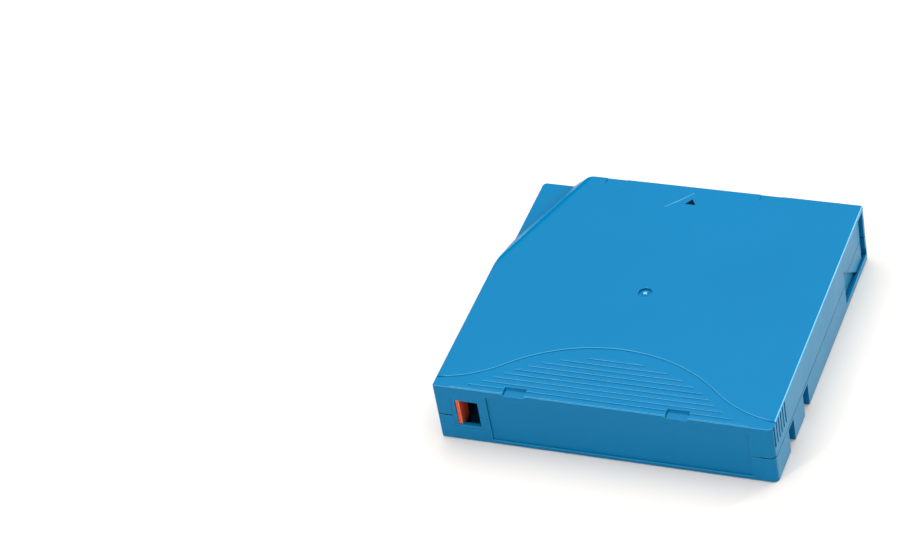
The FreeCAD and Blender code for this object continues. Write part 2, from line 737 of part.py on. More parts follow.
def make_upper_shell():
    blank = upper_blank()
    hollow = outline_body("upper_hollow", "dim.side_wall", SEAM + " - dim.spare", ROOF)
    line = "(%s + %s)" % (GUIDE_LINE, GUIDE_WALL)
    slope_guide(hollow, "hollow_guide", line, ROOF, "dim.guide_drop")
    tools = [hollow, seam_groove("upper_seam"), grip_field("grip_field", "0"), arrow_mark()]
    tools += near_marks("upper", SEAM + " - dim.spare", None) + side_grooves()
    tools.append(door_mouth("upper", SEAM + " - dim.spare", ROOF))
    tools.append(door_pocket("upper", SEAM + " - dim.spare", ROOF))
    tools.append(round_bar("dimple", "dim.dimple_radius", TOP + " - dim.dimple_depth",
                           TOP + " + dim.spare", REEL_X))
    shell = cut("upper_walls", blank, tools)
    pip = doc.addObject("Part::Cone", "dimple_pip")
    pip.setExpression("Radius1", "dim.dimple_pip_radius")
    pip.setExpression("Radius2", "dim.dimple_pip_crown")
    pip.setExpression("Height", "dim.dimple_depth - dim.dimple_pip_sunk")
    place(pip, REEL_X, "0", TOP + " - dim.dimple_depth")
    rail = block("door_upper_rail", RAIL_IN, RAIL_OUT, RAIL_BACK, RAIL_END,
                 ROOF + " - dim.rest_rib_width", ROOF + " + dim.sink")
    stop = block("tab_upper_rail", "-" + INNER_X, WINDOW_RIGHT + " + dim.tab_lap", "-" + INNER_Y,
                 TAB_BACK, TAB_HIGH + " + dim.tab_gap", ROOF + " + dim.sink")
    cup = pin_cup("upper", ROOF + " - dim.cup_height", ROOF + " + dim.sink")
    solid = fuse("upper_solid", [shell, grip_ridges(), pip, rail, stop, cup, brake_key(), spring_seat()]
                 + upper_bosses())
    return cut("upper_shell", solid, roof_nicks())


def handling_notches(depth, grow):
    """Boxes for the four handling notches; grow widens them into the walls around them."""
    notches = []
    for side, side_name in ((1, "right"), (-1, "left")):
        for start_name in ("dim.notch_a", "dim.notch_b"):
            start = "-%s + %s" % (HALF_LENGTH, start_name)
            name = "notch_%s_%s_%s" % (side_name, start_name[-1], "wall" if grow != "0" else "cut")
            notches.append(wall_mark(name, side, "%s - (%s)" % (start, grow),
                                     "%s + dim.notch_width + (%s)" % (start, grow),
                                     "-dim.spare" if grow == "0" else FLOOR + " - dim.sink",
                                     "dim.notch_height + (%s)" % grow, depth))
    return notches


def lower_bosses():
    """Bosses that the screws pass through, with a deep seat for each head."""
    posts = []
    holes = []
    for label, x, y in SCREW_PLACES:
        posts.append(round_bar("lower_boss_" + label, "dim.boss_radius", FLOOR + " - dim.sink", SEAM, x, y))
        holes.append(round_bar("screw_hole_" + label, "dim.screw_radius + dim.screw_slack", "-dim.spare",
                               SEAM + " + dim.spare", x, y))
        holes.append(round_bar("head_seat_" + label, "dim.screw_head_radius + dim.screw_slack",
                               "-dim.spare", HEAD_TOP, x, y))
    return posts, holes


def pin_cup(prefix, low, high):
    """Half cup that the leader pin's end sits in, open towards the door."""
    outer = "(dim.pin_head_radius + dim.rest_gap + dim.cup_wall)"
    ring = tube(prefix + "_cup_ring", outer, "dim.pin_head_radius + dim.rest_gap", low, high,
                PIN_X, PIN_Y)
    way = block(prefix + "_cup_way", PIN_X, "%s + %s + dim.spare" % (PIN_X, outer),
                "%s - %s" % (PIN_Y, outer), "%s + %s" % (PIN_Y, outer),
                low + " - dim.spare", high + " + dim.spare")
    return cut(prefix + "_pin_cup", ring, [way])


def board_rest():
    """Two ribs that hold the memory board at its lean."""
    ribs = []
    for label, sign in (("left", "-"), ("right", "+")):
        body = new_body("board_rib_" + label, "%s %s dim.board_width / 3" % (BOARD_X, sign))
        sketch = body_sketch(body, "board_rib_outline_" + label, "YZ_Plane", lift="-dim.rest_rib_width / 2")
        rise = "dim.board_height * sin(dim.board_lean) / 2"
        run = "dim.board_height * cos(dim.board_lean) / 2"
        front = "%s + %s" % (BOARD_BACK, run)
        fix_corners(sketch, [(BOARD_BACK, FLOOR + " - dim.sink"), (BOARD_BACK, FLOOR),
                             (front, "%s + %s" % (FLOOR, rise)), (front, FLOOR + " - dim.sink")])
        feature(body, "Pad", "board_rib_pad_" + label, sketch, Length="dim.rest_rib_width")
        ribs.append(body)
    return ribs


def make_lower_shell():
    blank = lower_blank()
    hollow = outline_body("lower_hollow", "dim.side_wall", FLOOR, SEAM + " + dim.spare")
    port = round_bar("port_clear", PORT_RADIUS, "-dim.spare", FLOOR + " + dim.spare", REEL_X)
    above = SEAM + " + dim.spare"
    slot = block("corner_slot", HALF_WIDTH + " - dim.corner_slot_reach", HALF_WIDTH + " + dim.spare",
                 DOOR_FRAME_END + " - dim.spare", HALF_LENGTH + " - dim.corner_slot_skin",
                 "dim.door_slot_low", "dim.corner_slot_high")
    tools = [hollow, port, seam_groove("lower_seam"), door_mouth("lower", "dim.door_slot_low", above),
             door_pocket("lower", FLOOR, above), slot] + near_marks("lower", None, above)
    walls = cut("lower_walls", blank, tools)
    grown = handling_notches("dim.notch_depth + dim.notch_wall", "dim.notch_wall")
    limit = block("notch_back_limit", "-" + INNER_X + " - dim.sink", INNER_X + " + dim.sink",
                  "-" + INNER_Y, INNER_Y, "0", SEAM)
    backs = common("notch_backs", fuse("notch_back_boxes", grown), limit)
    posts, holes = lower_bosses()
    rim_radius = PORT_RADIUS + " + dim.port_rim_step"
    rim = tube("port_rim", rim_radius + " + dim.port_rim_width", rim_radius,
               FLOOR + " - dim.sink", REEL_LOW + " - dim.rest_gap", REEL_X)
    tab_bed = block("tab_bed", "-" + INNER_X + " - dim.sink", WINDOW_LEFT + " + dim.tab_show",
                    "-" + INNER_Y + " - dim.sink", TAB_BACK,
                    FLOOR + " - dim.sink", TAB_LOW + " - dim.tab_gap")
    tab_rail = block("tab_lower_rail", WINDOW_LEFT, WINDOW_RIGHT + " + dim.tab_lap",
                     "-" + INNER_Y + " - dim.sink", "-" + INNER_Y + " + dim.tab_rail_width",
                     FLOOR + " - dim.sink", TAB_LOW + " - dim.tab_gap")
    door_rail = block("door_lower_rail", RAIL_IN, RAIL_OUT, RAIL_BACK, RAIL_END,
                      FLOOR + " - dim.sink", DOOR_LOW + " + dim.rest_rib_width")
    spring_post = block("spring_post", SPRING_AXIS + " - dim.door_spring_radius - dim.rest_gap", INNER_X,
                        SPRING_FAR + " - dim.lug_width", SPRING_FAR, FLOOR + " - dim.sink",
                        "dim.lug_low + dim.lug_height")
    solid = fuse("lower_solid", [walls, backs, rim, tab_bed, tab_rail, door_rail, spring_post,
                                 pin_cup("lower", FLOOR + " - dim.sink", FLOOR + " + dim.cup_height")]
                 + posts + board_rest())
    return cut("lower_shell", solid, holes + handling_notches("dim.notch_depth", "0"))


# ---- door and write-protect tab ---------------------------------------------

def make_door():
    """Sliding door: plate bent inwards at its front end, with a scooped lower rear corner."""
    body = new_body("door_plate", "0", "0", DOOR_LOW)
    sketch = body_sketch(body, "door_outline", "XY_Plane")
    hook = "%s - dim.door_hook" % DOOR_OUT
    inner_end = "%s - dim.door_thick" % DOOR_END
    fix_corners(sketch, [(DOOR_IN, DOOR_BACK), (DOOR_OUT, DOOR_BACK), (DOOR_OUT, DOOR_END),
                         (hook, DOOR_END), (hook, inner_end), (DOOR_IN, inner_end)])
    feature(body, "Pad", "door_pad", sketch, Length="%s - dim.door_gap - %s" % (ROOF, DOOR_LOW))
    doc.recompute()
    for label, x, y, radius in (("outer", DOOR_OUT, DOOR_END, "dim.door_bend"),
                                ("inner", DOOR_IN, inner_end, "dim.door_bend - dim.door_thick")):
        here = FreeCAD.Vector(number(x), number(y), 0)

        def bent(edge):
            point = middle_of(edge)
            return is_upright(edge) and math.hypot(point.x - here.x, point.y - here.y) < CLOSE

        dress(body, "Fillet", "door_bend_" + label, pick(body.Shape, bent), "Radius", radius)
        doc.recompute()
    scoop = new_body("door_scoop", DOOR_OUT, DOOR_START, DOOR_LOW)
    face = body_sketch(scoop, "scoop_outline", "YZ_Plane", lift="-dim.door_scoop_depth")
    behind = "-dim.door_lap - dim.spare"
    rise = "dim.door_scoop_high - " + DOOR_LOW
    fix_corners(face, [(behind, "-dim.spare"), ("dim.door_scoop_end", "-dim.spare"),
                       ("dim.door_scoop_end", "0"), ("0", rise), (behind, rise)])
    feature(scoop, "Pad", "scoop_pad", face, Length="dim.door_scoop_depth + dim.spare")
    lug = block("door_lug", SPRING_AXIS + " - dim.door_spring_radius", DOOR_IN + " + dim.sink", SPRING_NEAR,
                SPRING_NEAR + " + dim.lug_width", "dim.lug_low", "dim.lug_low + dim.lug_height")
    return fuse("door", [cut("door_scooped", body, [scoop]), lug])


def make_tab():
    """Write-protect slide: a block with a nose that shows in the window."""
    right = WINDOW_LEFT + " + dim.tab_show"
    slide = block("tab_block", "-%s + dim.tab_gap" % INNER_X, right, TAB_FRONT, TAB_BACK,
                  TAB_LOW, TAB_HIGH)
    nose = block("tab_nose", WINDOW_LEFT + " + dim.tab_gap", right,
                 "-%s + dim.window_frame_depth + dim.tab_gap" % HALF_LENGTH, TAB_FRONT + " + dim.sink",
                 "dim.window_low + dim.tab_gap", "dim.window_high - dim.tab_gap")
    return fuse("write_protect_tab", [slide, nose])


# ---- reel ---------------------------------------------------------------------


def radial_box(inner, outer, width):
    """Corners of a bar that lies along the body's own X axis."""
    half = "(%s) / 2" % width
    return [(inner, "-" + half), (outer, "-" + half), (outer, half), (inner, half)]


def tooth_ring(body, name, inner, outer, root, rise, lean=None):
    """A ring of square teeth on a flat face; a negative rise points down."""
    down = rise.startswith("-")
    sketch = body_sketch(body, name + "_outline", lift=root, lean_z=lean)
    fix_corners(sketch, radial_box(inner, outer, "dim.tooth_width"))
    tooth = feature(body, "Pad", name, sketch, Length=rise.lstrip("-"))
    tooth.Reversed = down
    doc.recompute()
    around(body, name + "_ring", tooth, "dim.tooth_count")
    doc.recompute()


def make_reel_hub():
    """Hub, web and lower flange in one moulding, with drive teeth below and brake teeth above."""
    body = new_body("reel_hub", REEL_X)
    sketch = body_sketch(body, "hub_section", "XZ_Plane")
    face = "(%s + dim.rest_gap)" % DRIVE_TOOTH_OUTER
    fix_corners(sketch, [
        ("0", WEB_LOW), (face, WEB_LOW), (face, REEL_LOW),
        (FLANGE_RADIUS, REEL_LOW), (FLANGE_RADIUS, FLANGE_TOP),
        ("dim.hub_radius", FLANGE_TOP), ("dim.hub_radius", HUB_TOP), (HUB_BORE, HUB_TOP),
        (HUB_BORE, WEB_TOP), ("0", WEB_TOP)])
    spin(body, "hub_turned", sketch)
    doc.recompute()
    tooth_ring(body, "drive_tooth", DRIVE_TOOTH_INNER, DRIVE_TOOTH_OUTER, WEB_LOW,
               "-dim.tooth_rise")
    tooth_ring(body, "brake_seat_tooth", BRAKE_TOOTH_INNER, BRAKE_TOOTH_OUTER, WEB_TOP,
               "dim.tooth_rise")
    hole = body_sketch(body, "leg_hole_outline", lift=WEB_LOW + " - dim.tooth_rise - dim.spare")
    reach = "(dim.leg_length / 2 + dim.leg_gap)"
    fix_corners(hole, radial_box("%s - %s" % (LEG_CENTRE, reach), "%s + %s" % (LEG_CENTRE, reach),
                                 "dim.leg_width + 2 * dim.leg_gap"))
    pocket = feature(body, "Pocket", "leg_hole", hole,
                     Length="dim.web_thick + dim.tooth_rise + 2 * dim.spare")
    pocket.Reversed = True
    doc.recompute()
    around(body, "leg_holes", pocket, "dim.leg_count")
    return body


def make_clutch_plate():
    return tube("clutch_plate", CLUTCH_RADIUS, "dim.clutch_bore",
                WEB_LOW + " - dim.clutch_thick", WEB_LOW, REEL_X)


def make_tape_pack():
    return tube("tape_pack", TAPE_RADIUS, "dim.hub_radius", TAPE_LOW, TAPE_HIGH, REEL_X)


def make_upper_flange():
    return tube("upper_flange", FLANGE_RADIUS, HUB_BORE, HUB_TOP,
                HUB_TOP + " + dim.upper_flange_thick", REEL_X)


def make_brake_button():
    """Toothed brake with a slotted sleeve that slides on the roof's post."""
    body = new_body("brake_button", REEL_X)
    sketch = body_sketch(body, "brake_section", "XZ_Plane")
    top = "(%s + dim.sleeve_height)" % SLOT_FLOOR
    fix_corners(sketch, [("0", BRAKE_LOW), (BRAKE_RADIUS, BRAKE_LOW), (BRAKE_RADIUS, SLOT_FLOOR),
                         ("dim.sleeve_radius", SLOT_FLOOR), ("dim.sleeve_radius", top), ("0", top)])
    spin(body, "brake_turned", sketch)
    doc.recompute()
    tooth_ring(body, "brake_tooth", BRAKE_TOOTH_INNER, BRAKE_TOOTH_OUTER, BRAKE_LOW,
               "-dim.tooth_rise", "180 / dim.tooth_count")
    for k, turn in enumerate(("0", "90")):
        slot = body_sketch(body, "key_slot_outline_%d" % k, lift=top, lean_z=turn)
        half = "(dim.key_length / 2 + dim.key_gap)"
        fix_corners(slot, radial_box("-" + half, half, "dim.key_width + 2 * dim.key_gap"))
        feature(body, "Pocket", "key_slot_%d" % k, slot, Length="dim.sleeve_height")
        doc.recompute()
    return body


def make_release_pad():
    """Disc with three legs that reach down through the hub's web."""
    body = new_body("release_pad", REEL_X)
    low = WEB_TOP + " + dim.pad_gap"
    disc = fix_circle(body_sketch(body, "pad_outline", lift=low), PAD_RADIUS)
    feature(body, "Pad", "pad_disc", disc, Length="dim.pad_thick - dim.pad_gap")
    doc.recompute()
    end = LEG_CENTRE + " + dim.leg_length / 2"
    arm = body_sketch(body, "arm_outline", lift=low)
    fix_corners(arm, radial_box(PAD_RADIUS + " - dim.leg_length / 2", end, "dim.leg_width"))
    arm_pad = feature(body, "Pad", "arm", arm, Length="dim.pad_thick - dim.pad_gap")
    doc.recompute()
    around(body, "arms", arm_pad, "dim.leg_count")
    doc.recompute()
    leg = body_sketch(body, "leg_outline", lift=LEG_TIP)
    fix_corners(leg, radial_box(LEG_CENTRE + " - dim.leg_length / 2", end, "dim.leg_width"))
    leg_pad = feature(body, "Pad", "leg", leg, Length="(%s) - (%s) + dim.sink" % (low, LEG_TIP))
    doc.recompute()
    around(body, "legs", leg_pad, "dim.leg_count")
    return body


# ---- springs --------------------------------------------------------------------

def coil(name, radius, wire, turns, length):
    """A closed coil of round wire about Z, from 0 to length, made of flat facets."""
    radius, wire, turns, length = [number(item) for item in (radius, wire, turns, length)]
    steps = 14
    sides = 6
    count = int(turns * steps)
    rise = length - wire
    rings = []
    for k in range(count + 1):
        share = k / count
        angle = 2 * math.pi * turns * share
        height = wire / 2 + rise * share
        ring = []
        for side in range(sides):
            lean = 2 * math.pi * side / sides
            out = radius + wire / 2 * math.cos(lean)
            up = height + wire / 2 * math.sin(lean)
            ring.append(FreeCAD.Vector(out * math.cos(angle), out * math.sin(angle), up))
        rings.append(ring)
    faces = [Part.Face(Part.makePolygon(ring + ring[:1])) for ring in (rings[0], rings[-1])]
    for first, second in zip(rings, rings[1:]):
        for a in range(sides):
            b = (a + 1) % sides
            for corners in ((first[a], first[b], second[b]), (first[a], second[b], second[a])):
                faces.append(Part.Face(Part.makePolygon(list(corners) + [corners[0]])))
    spring = doc.addObject("Part::Feature", name)
    solid = Part.Solid(Part.Shell(faces))
    if solid.Volume < 0:
        solid.reverse()
    spring.Shape = solid
    return spring


def make_brake_spring():
    spring = coil("brake_spring", "dim.brake_spring_radius", "dim.brake_spring_wire",
                  "dim.brake_spring_turns", "%s - %s" % (ROOF, SLOT_FLOOR))
    return place(spring, REEL_X, "0", SLOT_FLOOR)


def make_door_spring():
    spring = coil("door_spring", "dim.door_spring_radius", "dim.door_spring_wire",
                  "dim.door_spring_turns", "%s - %s" % (SPRING_NEAR, SPRING_FAR))
    spring.Placement = FreeCAD.Placement(FreeCAD.Vector(0, 0, 0), FreeCAD.Rotation(X_AXIS, -90))
    return place(spring, SPRING_AXIS, SPRING_FAR, SPRING_LEVEL)


# ---- leader pin and tape end ------------------------------------------------------

def make_leader_pin():
    """Steel pin with a head at each end, standing in its two cups."""
    body = new_body("leader_pin", PIN_X, PIN_Y, FLOOR)
    sketch = body_sketch(body, "pin_section", "XZ_Plane")
    top = "(%s - dim.rest_gap - %s)" % (ROOF, FLOOR)
    head = "dim.pin_head_height"
    fix_corners(sketch, [("0", "0"), ("dim.pin_head_radius", "0"), ("dim.pin_head_radius", head),
                         ("dim.pin_radius", head), ("dim.pin_radius", "%s - %s" % (top, head)),
                         ("dim.pin_head_radius", "%s - %s" % (top, head)), ("dim.pin_head_radius", top),
                         ("0", top)])
    spin(body, "pin_turned", sketch)
    return body


def make_tape_clamp():
    return tube("tape_clamp", "dim.pin_radius + dim.clamp_wall", "dim.pin_radius", TAPE_LOW, TAPE_HIGH,
                PIN_X, PIN_Y)


def make_leader_tape():
    """The free end of the tape, on the line from the pin that just misses the pack."""
    across = "(%s - %s)" % (PIN_X, REEL_X)
    reach = "sqrt(%s ^ 2 + %s ^ 2)" % (across, PIN_Y)
    miss = "(%s + dim.rest_gap + dim.leader_thick)" % TAPE_RADIUS
    angle = "(atan(%s / %s) - acos(%s / %s))" % (PIN_Y, across, miss, reach)
    tape = doc.addObject("Part::Box", "leader_tape")
    tape.setExpression("Length", "sqrt(%s ^ 2 - %s ^ 2) - dim.pin_radius - dim.clamp_wall" % (reach, miss))
    tape.setExpression("Width", "dim.leader_thick")
    tape.setExpression("Height", "dim.tape_width")
    return place(tape, "%s + %s * cos(%s)" % (REEL_X, miss, angle), "%s * sin(%s)" % (miss, angle),
                 TAPE_LOW, turn=angle + " + 90 deg")


def make_retaining_spring():
    """Bent wire whose two arms press on the leader pin near its heads."""
    wire = "dim.clip_wire / 2"
    back = "(%s - dim.clip_reach)" % PIN_X
    beside = "(%s + dim.pin_radius + dim.clip_wire / 2)" % PIN_Y
    low = "(%s + dim.cup_height + dim.clip_wire / 2)" % FLOOR
    high = "(%s - dim.cup_height - dim.clip_wire / 2)" % ROOF
    pieces = [round_bar("clip_back", wire, low + " + dim.clip_bend", high + " - dim.clip_bend",
                        back, beside)]
    for label, level, turn in (("low", low, 180), ("high", high, 90)):
        arm = doc.addObject("Part::Cylinder", "clip_arm_" + label)
        arm.Placement = FreeCAD.Placement(FreeCAD.Vector(0, 0, 0), FreeCAD.Rotation(Y_AXIS, 90))
        arm.setExpression("Radius", wire)
        arm.setExpression("Height", "dim.clip_reach - dim.clip_bend + dim.pin_radius")
        pieces.append(place(arm, back + " + dim.clip_bend", beside, level))
        bend = doc.addObject("Part::Torus", "clip_bend_" + label)
        bend.Placement = FreeCAD.Placement(FreeCAD.Vector(0, 0, 0), FreeCAD.Rotation(X_AXIS, 90))
        bend.setExpression("Radius1", "dim.clip_bend")
        bend.setExpression("Radius2", wire)
        bend.Angle3 = 90
        bend.Placement = bend.Placement.multiply(
            FreeCAD.Placement(FreeCAD.Vector(0, 0, 0), FreeCAD.Rotation(Z_AXIS, turn)))
        sign = "+" if label == "low" else "-"
        pieces.append(place(bend, back + " + dim.clip_bend", beside, "%s %s dim.clip_bend" % (level, sign)))
    return fuse("pin_retaining_spring", pieces)


# ---- screws and memory --------------------------------------------------------------

def make_case_screws():
    """Four self-tapping screws, driven from below."""
    screws = []
    for label, x, y in SCREW_PLACES:
        body = new_body("screw_" + label, x, y, "dim.screw_head_level")
        sketch = body_sketch(body, "screw_section_" + label, "XZ_Plane")
        fix_corners(sketch, [("0", "0"), ("dim.screw_head_radius", "0"),
                             ("dim.screw_head_radius", "dim.screw_head_height"),
                             ("dim.screw_radius", "dim.screw_head_height"),
                             ("dim.screw_radius", "dim.screw_length - dim.screw_radius"),
                             ("0", "dim.screw_length")])
        spin(body, "screw_turned_" + label, sketch)
        doc.recompute()
        drive = body_sketch(body, "screw_drive_" + label, lift="0")
        half = "dim.screw_head_radius / 2"
        fix_corners(drive, radial_box("-" + half, half, "dim.screw_head_radius / 4"))
        recess = feature(body, "Pocket", "screw_recess_" + label, drive, Length="dim.screw_head_height / 2")
        recess.Reversed = True
        screws.append(body)
    group = doc.addObject("Part::Compound", "case_screws")
    group.Links = screws
    return group


def leaning_box(name, start, end, low, high, width):
    """A box on the memory board's lean: start and end run up the board, low and high stand off it."""
    body = new_body(name, BOARD_X)
    sketch = body_sketch(body, name + "_outline", "YZ_Plane", lift="-(%s) / 2" % width)

    def corner(along, off):
        return ("%s + (%s) * cos(dim.board_lean) - (%s) * sin(dim.board_lean)" % (BOARD_BACK, along, off),
                "%s + (%s) * sin(dim.board_lean) + (%s) * cos(dim.board_lean)" % (FLOOR, along, off))

    fix_corners(sketch, [corner(start, low), corner(end, low), corner(end, high), corner(start, high)])
    feature(body, "Pad", name + "_pad", sketch, Length=width)
    return body


def make_memory_board():
    return leaning_box("memory_board", "0", "dim.board_height", "0", "dim.board_thick", "dim.board_width")


def make_memory_chip():
    middle = "dim.board_height / 2"
    half = "dim.chip_side / 2"
    return leaning_box("memory_chip", "%s - %s" % (middle, half), "%s + %s" % (middle, half),
                       "dim.board_thick", "dim.board_thick + dim.chip_rise", "dim.chip_side")


# ---- build, check and write ---------------------------------------------------------

MAKERS = [
    make_upper_shell, make_lower_shell, make_case_screws, make_door, make_door_spring, make_tab,
    make_reel_hub, make_upper_flange, make_clutch_plate, make_tape_pack, make_brake_button,
    make_brake_spring, make_release_pad, make_leader_pin, make_tape_clamp, make_leader_tape,
    make_retaining_spring, make_memory_board, make_memory_chip,
]


def check(parts):
    """Stop if any object failed or any sub-part has no sound shape."""
    for item in doc.Objects:
        if "Invalid" in item.State or "Error" in item.State:
            raise RuntimeError("%s did not build: %s" % (item.Label, item.State))
    for part in parts:
        if part.Shape.isNull() or not part.Shape.isValid():
            raise RuntimeError(part.Label + " has no sound shape")


def main():
    parts = [make() for make in MAKERS]
    doc.recompute()
    check(parts)
    os.makedirs("parts", exist_ok=True)
    for part in parts:
        part.Shape.exportStep(os.path.join("parts", part.Label + ".step"))
        print(part.Label, "%.1f mm3" % part.Shape.Volume)


main()
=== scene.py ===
import math

import bmesh
import bpy
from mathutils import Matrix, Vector


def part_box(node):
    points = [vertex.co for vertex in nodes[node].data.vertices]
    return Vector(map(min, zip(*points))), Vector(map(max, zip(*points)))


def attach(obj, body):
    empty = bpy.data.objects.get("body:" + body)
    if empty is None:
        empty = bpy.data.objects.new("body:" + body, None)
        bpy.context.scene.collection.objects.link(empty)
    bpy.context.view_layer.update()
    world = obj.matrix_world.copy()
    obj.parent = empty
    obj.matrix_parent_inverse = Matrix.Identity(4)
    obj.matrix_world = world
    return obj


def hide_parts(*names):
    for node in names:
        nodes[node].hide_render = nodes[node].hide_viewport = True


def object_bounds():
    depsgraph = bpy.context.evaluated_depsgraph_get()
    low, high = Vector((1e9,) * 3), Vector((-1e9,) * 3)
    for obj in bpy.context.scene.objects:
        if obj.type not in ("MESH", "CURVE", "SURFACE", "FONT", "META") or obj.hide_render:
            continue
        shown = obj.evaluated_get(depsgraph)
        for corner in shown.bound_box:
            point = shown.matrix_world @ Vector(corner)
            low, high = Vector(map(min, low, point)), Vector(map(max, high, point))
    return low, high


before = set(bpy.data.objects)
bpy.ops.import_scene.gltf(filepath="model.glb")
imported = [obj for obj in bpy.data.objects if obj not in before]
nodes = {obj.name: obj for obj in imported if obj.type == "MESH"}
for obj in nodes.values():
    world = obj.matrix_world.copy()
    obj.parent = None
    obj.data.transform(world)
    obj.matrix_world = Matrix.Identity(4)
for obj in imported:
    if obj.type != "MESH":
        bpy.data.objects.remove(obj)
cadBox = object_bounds()
scene = bpy.context.scene
mm = 0.001
print("frame loaded:", len(nodes), "nodes")


noiseSpan = (0.3, 0.7)      # where nearly all of a noise signal lies
blendSpan = (0.35, 0.65)


def startMaterial(name):
    mat = bpy.data.materials.new(name)
    mat.use_nodes = True
    tree = mat.node_tree
    shader = next(n for n in tree.nodes if n.type == "BSDF_PRINCIPLED")
    coords = tree.nodes.new("ShaderNodeTexCoord")
    return mat, tree, shader, coords.outputs["Object"]


def addNoise(tree, coords, scale, detail=3.0):
    noise = tree.nodes.new("ShaderNodeTexNoise")
    noise.inputs["Scale"].default_value = scale
    noise.inputs["Detail"].default_value = detail
    tree.links.new(coords, noise.inputs["Vector"])
    return noise.outputs["Fac"]


def spread(tree, fac, low, high):
    # maps a noise signal to low..high
    node = tree.nodes.new("ShaderNodeMapRange")
    node.inputs["From Min"].default_value = noiseSpan[0]
    node.inputs["From Max"].default_value = noiseSpan[1]
    node.inputs["To Min"].default_value = low
    node.inputs["To Max"].default_value = high
    tree.links.new(fac, node.inputs["Value"])
    return node.outputs["Result"]


def blendColors(tree, fac, first, second):
    ramp = tree.nodes.new("ShaderNodeValToRGB")
    for stop, position, color in zip(ramp.color_ramp.elements, blendSpan, (first, second)):
        stop.position = position
        stop.color = (*color, 1)
    tree.links.new(fac, ramp.inputs["Fac"])
    return ramp.outputs["Color"]


def addBump(tree, shader, height, distance, under=None):
    bump = tree.nodes.new("ShaderNodeBump")
    bump.inputs["Distance"].default_value = distance
    tree.links.new(height, bump.inputs["Height"])
    if under:
        tree.links.new(under.outputs["Normal"], bump.inputs["Normal"])
    tree.links.new(bump.outputs["Normal"], shader.inputs["Normal"])
    return bump


def tinted(color, factor):
    return tuple(min(1.0, c * factor) for c in color)


def darken(tree, fac, color, shade):
    # lays a plain shade over a colour where fac is high
    mix = tree.nodes.new("ShaderNodeMix")
    mix.data_type = "RGBA"
    mix.inputs["B"].default_value = (*shade, 1)
    tree.links.new(fac, mix.inputs["Factor"])
    tree.links.new(color, mix.inputs["A"])
    return mix.outputs["Result"]


# painted shade in creases: how far the occlusion test looks, how many samples it takes, and how dark
# the shade gets
creases = {
    "reach": 0.35, "samples": 8,
    "closed": 0.35, "open": 0.75,   # share of open sky at which the shade is full, and gone
    "tint": 0.12,
}


def shadeCreases(tree, color, recipe):
    # painted shade: the colour is darkened where an ambient-occlusion test finds narrow steps and
    # gaps close by
    near = tree.nodes.new("ShaderNodeAmbientOcclusion")
    near.samples = creases["samples"]
    near.inputs["Distance"].default_value = creases["reach"] * mm
    depth = tree.nodes.new("ShaderNodeMapRange")
    depth.inputs["From Min"].default_value = creases["closed"]
    depth.inputs["From Max"].default_value = creases["open"]
    depth.inputs["To Min"].default_value = recipe["creaseDepth"]
    depth.inputs["To Max"].default_value = 0.0
    tree.links.new(near.outputs["AO"], depth.inputs["Value"])
    return darken(tree, depth.outputs["Result"], color, tinted(recipe["color"], creases["tint"]))


seam = {
    "height": 9.6, "half": 0.22, "tint": 0.10,
    "recessReach": 48.0, "recessFace": -50.6, "recessBand": 0.3,
}


def drawSeam(tree, coords, color, recipe):
    # the dark joint between the two shells, outside the label and window recesses;
    # it goes by height alone, so it crosses the door's plate as well
    split = tree.nodes.new("ShaderNodeSeparateXYZ")
    tree.links.new(coords, split.inputs[0])

    def compute(operation, first, second, third=0.0):
        node = tree.nodes.new("ShaderNodeMath")
        node.operation = operation
        for socket, value in zip(node.inputs, (first, second, third)):
            if isinstance(value, float):
                socket.default_value = value
            else:
                tree.links.new(value, socket)
        return node.outputs[0]

    onSeam = compute("COMPARE", split.outputs["Z"], seam["height"] * mm, seam["half"] * mm)
    across = compute("ABSOLUTE", split.outputs["X"], 0.0)
    between = compute("LESS_THAN", across, seam["recessReach"] * mm)
    sunk = compute("COMPARE", split.outputs["Y"], seam["recessFace"] * mm, seam["recessBand"] * mm)
    inRecess = compute("MULTIPLY", between, sunk)
    line = compute("MULTIPLY", onSeam, compute("SUBTRACT", 1.0, inRecess))
    return darken(tree, line, color, tinted(recipe["color"], seam["tint"]))


casePlastic = {
    "color": (0.000, 0.188, 0.412),
    "mottle": 0.02,         # share by which the colour drifts over the moulding
    "mottleScale": 22.0,
    "patchScale": 88.0,     # patches of more and less gloss
    "roughness": (0.33, 0.41),
    "specular": 0.11,
    "grainScale": 2600.0,   # spark-eroded mould grain, about 0.4 mm
    "grainDepth": 0.000012,
    "flowScale": 45.0,
    "flowDepth": 0.00002,   # faint sink over the ribs
    "creaseDepth": 0.0,     # how strong the painted shade in creases is; 0 leaves it and the seam out
}


def mouldedPlastic(name, recipe):
    mat, tree, shader, coords = startMaterial(name)
    drift = addNoise(tree, coords, recipe["mottleScale"], 2.0)
    color = blendColors(tree, drift, tinted(recipe["color"], 1 - recipe["mottle"]),
                        tinted(recipe["color"], 1 + recipe["mottle"]))
    if recipe["creaseDepth"]:
        color = shadeCreases(tree, drawSeam(tree, coords, color, recipe), recipe)
    tree.links.new(color, shader.inputs["Base Color"])
    patches = addNoise(tree, coords, recipe["patchScale"], 4.0)
    tree.links.new(spread(tree, patches, *recipe["roughness"]), shader.inputs["Roughness"])
    shader.inputs["Specular IOR Level"].default_value = recipe["specular"]
    flow = addNoise(tree, coords, recipe["flowScale"], 1.0)
    sink = addBump(tree, shader, flow, recipe["flowDepth"])
    grain = addNoise(tree, coords, recipe["grainScale"], 2.0)
    addBump(tree, shader, grain, recipe["grainDepth"], under=sink)
    return mat


